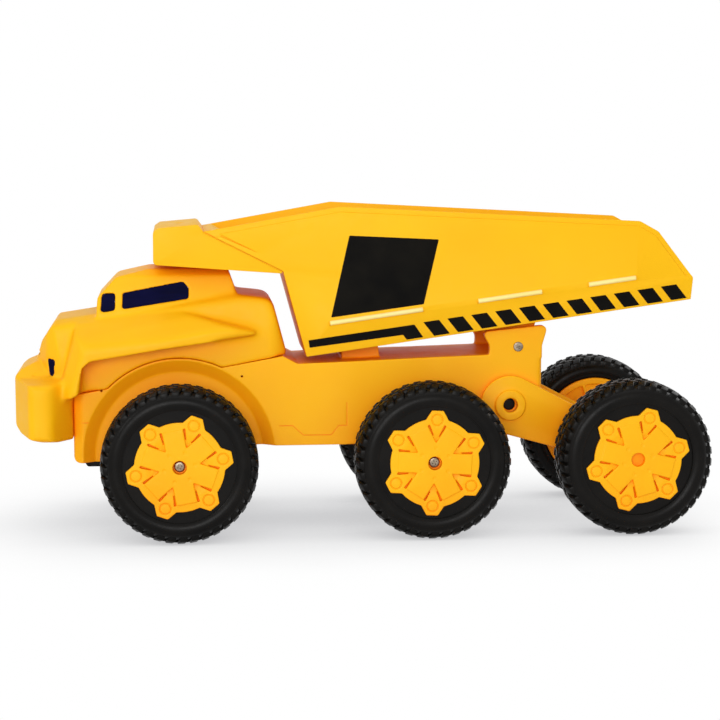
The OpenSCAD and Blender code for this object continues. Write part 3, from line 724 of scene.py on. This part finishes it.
def cast_chassis():
    """The chassis, with its seams and screw holes cut in."""
    chassis = cast("chassis", CHASSIS_GRAIN, 4)
    thin_out(chassis, CHASSIS_TRIANGLES)
    cutters = []
    for flank in FLANKS:
        for path in (SLIDE_SEAM, FASCIA_SEAM):
            cutters.append(line_cutter(on_flank, path, SEAM_W, SEAM_DEPTH, flank))
        cutters += [screw_hole(ahead * MM, up * MM, flank) for ahead, up in SCREW_HOLES]
    cut(chassis, join("chassis_cutters", cutters))
    smooth(chassis, 50)
    finish_as(chassis, "chassis", CHASSIS_YELLOW, "yellow_plastic", "chassis")


# Over how many millimetres the softening fades in from a region's limits
FADE = 16


def within(place, ahead, up, across):
    """How far places lie inside limits ahead of the front axle, above it and out from the middle: 0 to 1."""
    x, y, z = place
    depth = np.min([x - ahead[0], ahead[1] - x, z - up[0], up[1] - z, y - across], axis=0)
    return np.clip(depth / FADE, 0, 1)


# The fenders' blend into the hood and the flank, their foot on the bumper, and the edges of hood and roof
SOFT_REGIONS = [
    (150, lambda place, facing: within(place, (-24, 118), (84, 143), 42) * np.clip(4 * facing[2], 0, 1)),
    (150, lambda place, facing: within(place, (-110, -6), (84, 164), 42) * np.clip(4 * facing[2], 0, 1)),
    (250, lambda place, facing: within(place, (-120, -30), (88, 166), 38) * np.clip(5 * facing[1] + 1, 0, 1)),
    (250, lambda place, facing: within(place, (74, 138), (34, 86), 42) * np.clip(5 * facing[1] + 1.5, 0, 1)),
    (16, lambda place, facing: within(place, (62, 150), (106, 150), -FADE) * (facing[2] > -0.2)),
    (14, lambda place, facing: within(place, (-100, 100), (183, 260), -FADE) * (facing[2] > -0.2))]


def cast_cab():
    """The cab with hood, fenders and bumper, softened where they flow into each other."""
    cab = cast("cab_shell", CAB_GRAIN, 4)
    soften(cab, SOFT_REGIONS)
    thin_out(cab, CAB_TRIANGLES)
    finish_as(cab, "chassis", CAB_YELLOW, "yellow_plastic", "cab_shell")


cast_chassis()
cast_cab()
bevelled("dump_body", BED_YELLOW, 0.5 * MM)
guard = bevelled("cab_guard", BED_YELLOW, 0.3 * MM)
blades = [line_cutter(on_bed, GUARD_SEAM, SEAM_W, GUARD_SEAM_DEPTH, flank) for flank in FLANKS]
cut(guard, join("seam_cutters", blades))
for side in SIDES:
    bevelled("rear_arm_" + side, CHASSIS_YELLOW, 1.4 * MM)
for axle in ("front", "middle"):
    bevelled(axle + "_axle_cover", COVER_BLACK, 0.8 * MM)


# Hubs: a cap with bolts and spokes outside, and a ribbed disc inside

def cast_hub(part, axle, grain, triangles):
    """One of the hub's mouldings, brought from its wheel to the origin."""
    hub = cast(f"{part}_{axle}_left", grain, 3)
    hub.data.transform(at_wheel(axle, "left").inverted())
    thin_out(hub, triangles)
    return hub


screwed_cap = cast_hub("hub_cap", "front", CAP_GRAIN, CAP_TRIANGLES)
closed_cap = cast_hub("hub_cap", "rear", CAP_GRAIN, CAP_TRIANGLES)
inner_disc = cast_hub("hub_disc", "front", DISC_GRAIN, DISC_TRIANGLES)
for axle in AXLES:
    for side in SIDES:
        wheel = f"{axle}_{side}"
        cap = closed_cap if axle == "rear" else screwed_cap
        for part, pattern in (("hub_cap", cap), ("hub_disc", inner_disc)):
            hub = copy_of(pattern, f"moulded_{part}_{wheel}", at_wheel(axle, side))
            finish_as(hub, "wheel_" + wheel, HUB_YELLOW, "hub_yellow", f"{part}_{wheel}")
for pattern in (screwed_cap, closed_cap, inner_disc):
    bpy.data.objects.remove(pattern)


# Floor, light and camera

def straight_look(tree):
    """One for what the camera sees by itself or in shiny and clear surfaces, zero for light on its way."""
    path = add(tree, "ShaderNodeLightPath")
    mirrored = add(tree, "ShaderNodeMath", operation="MAXIMUM",
                   links={0: path.outputs["Is Glossy Ray"], 1: path.outputs["Is Transmission Ray"]})
    either = add(tree, "ShaderNodeMath", operation="MAXIMUM",
                 links={0: path.outputs["Is Camera Ray"], 1: mirrored.outputs["Value"]})
    return either.outputs["Value"]


def white_floor():
    """A pale floor that looks white to the camera and in reflections, but for the truck's soft shadow."""
    bpy.ops.object.select_all(action="DESELECT")
    bpy.ops.mesh.primitive_plane_add(size=14, location=(0, 0, 0))
    floor = bpy.context.object
    floor.name = "studio_floor"
    material = bpy.data.materials.new("white_paper_floor")
    material.use_nodes = True
    tree = material.node_tree
    tree.nodes.clear()
    paper = add(tree, "ShaderNodeBsdfDiffuse", {"Color": hex_linear("#f2f2f0")})
    shade = add(tree, "ShaderNodeAmbientOcclusion", {"Distance": 0.22}, samples=16)
    ramp = add(tree, "ShaderNodeValToRGB", links={"Fac": shade.outputs["AO"]})
    ramp.color_ramp.elements[0].color = hex_linear("#b9b9bb")
    ramp.color_ramp.elements[1].position = 0.9
    white = add(tree, "ShaderNodeEmission", {"Strength": 1.0}, {"Color": ramp.outputs["Color"]})
    mix = add(tree, "ShaderNodeMixShader", links={0: straight_look(tree), 1: paper.outputs["BSDF"],
                                                  2: white.outputs["Emission"]})
    add(tree, "ShaderNodeOutputMaterial", links={"Surface": mix.outputs["Shader"]})
    floor.data.materials.append(material)


def studio_world():
    """Soft white room light, with a plain white background for what looks straight at it."""
    world = bpy.data.worlds.new("studio_world")
    bpy.context.scene.world = world
    world.use_nodes = True
    tree = world.node_tree
    tree.nodes.clear()
    room = add(tree, "ShaderNodeBackground", {"Color": (1, 1, 1, 1), "Strength": 0.5})
    backdrop = add(tree, "ShaderNodeBackground", {"Color": (1, 1, 1, 1), "Strength": 1.0})
    mix = add(tree, "ShaderNodeMixShader", links={0: straight_look(tree), 1: room.outputs["Background"],
                                                  2: backdrop.outputs["Background"]})
    add(tree, "ShaderNodeOutputWorld", links={"Surface": mix.outputs["Shader"]})


def softbox(name, place, target, size, watts):
    """A soft lamp at a place, turned to its target."""
    lamp = bpy.data.lights.new(name, "AREA")
    lamp.shape = "RECTANGLE"
    lamp.size, lamp.size_y = size
    lamp.energy = watts
    box = bpy.data.objects.new(name, lamp)
    bpy.context.scene.collection.objects.link(box)
    box.location = place
    box.rotation_euler = (Vector(target) - Vector(place)).to_track_quat("-Z", "Y").to_euler()


CAMERA_AZIMUTH = math.radians(174.59)
CAMERA_RISE = math.radians(6.98)
CAMERA_ROLL = math.radians(-0.05)
CAMERA_DISTANCE = 1.9235
CAMERA_LENS = 96
CAMERA_TARGET = Vector((-0.0036, 0, 0.1596))


def photo_camera():
    """The camera where the photograph was taken from."""
    lens = bpy.data.cameras.new("photo_view")
    lens.lens = CAMERA_LENS
    lens.sensor_width = 36
    camera = bpy.data.objects.new("photo_view", lens)
    bpy.context.scene.collection.objects.link(camera)
    level = math.cos(CAMERA_RISE)
    back = Vector((math.sin(CAMERA_AZIMUTH) * level, -math.cos(CAMERA_AZIMUTH) * level,
                   math.sin(CAMERA_RISE)))
    turn = (-back).to_track_quat("-Z", "Y").to_matrix().to_4x4()
    camera.matrix_world = (Matrix.Translation(CAMERA_TARGET + CAMERA_DISTANCE * back) @ turn
                           @ Matrix.Rotation(CAMERA_ROLL, 4, "Z"))
    bpy.context.scene.camera = camera


white_floor()
studio_world()
CENTRE = (0, 0, 0.15)
softbox("key_softbox", (0.6, 2.8, 0.75), CENTRE, (1.6, 1.0), 37)
softbox("top_softbox", (0.1, 0.2, 2.6), CENTRE, (2.4, 1.4), 9)
softbox("nose_strip", (2.3, 1.3, 1.5), CENTRE, (0.16, 1.0), 9)
softbox("rear_softbox", (-2.2, -1.6, 1.6), CENTRE, (1.4, 1.2), 12)
photo_camera()
bpy.context.scene.view_settings.view_transform = "Standard"
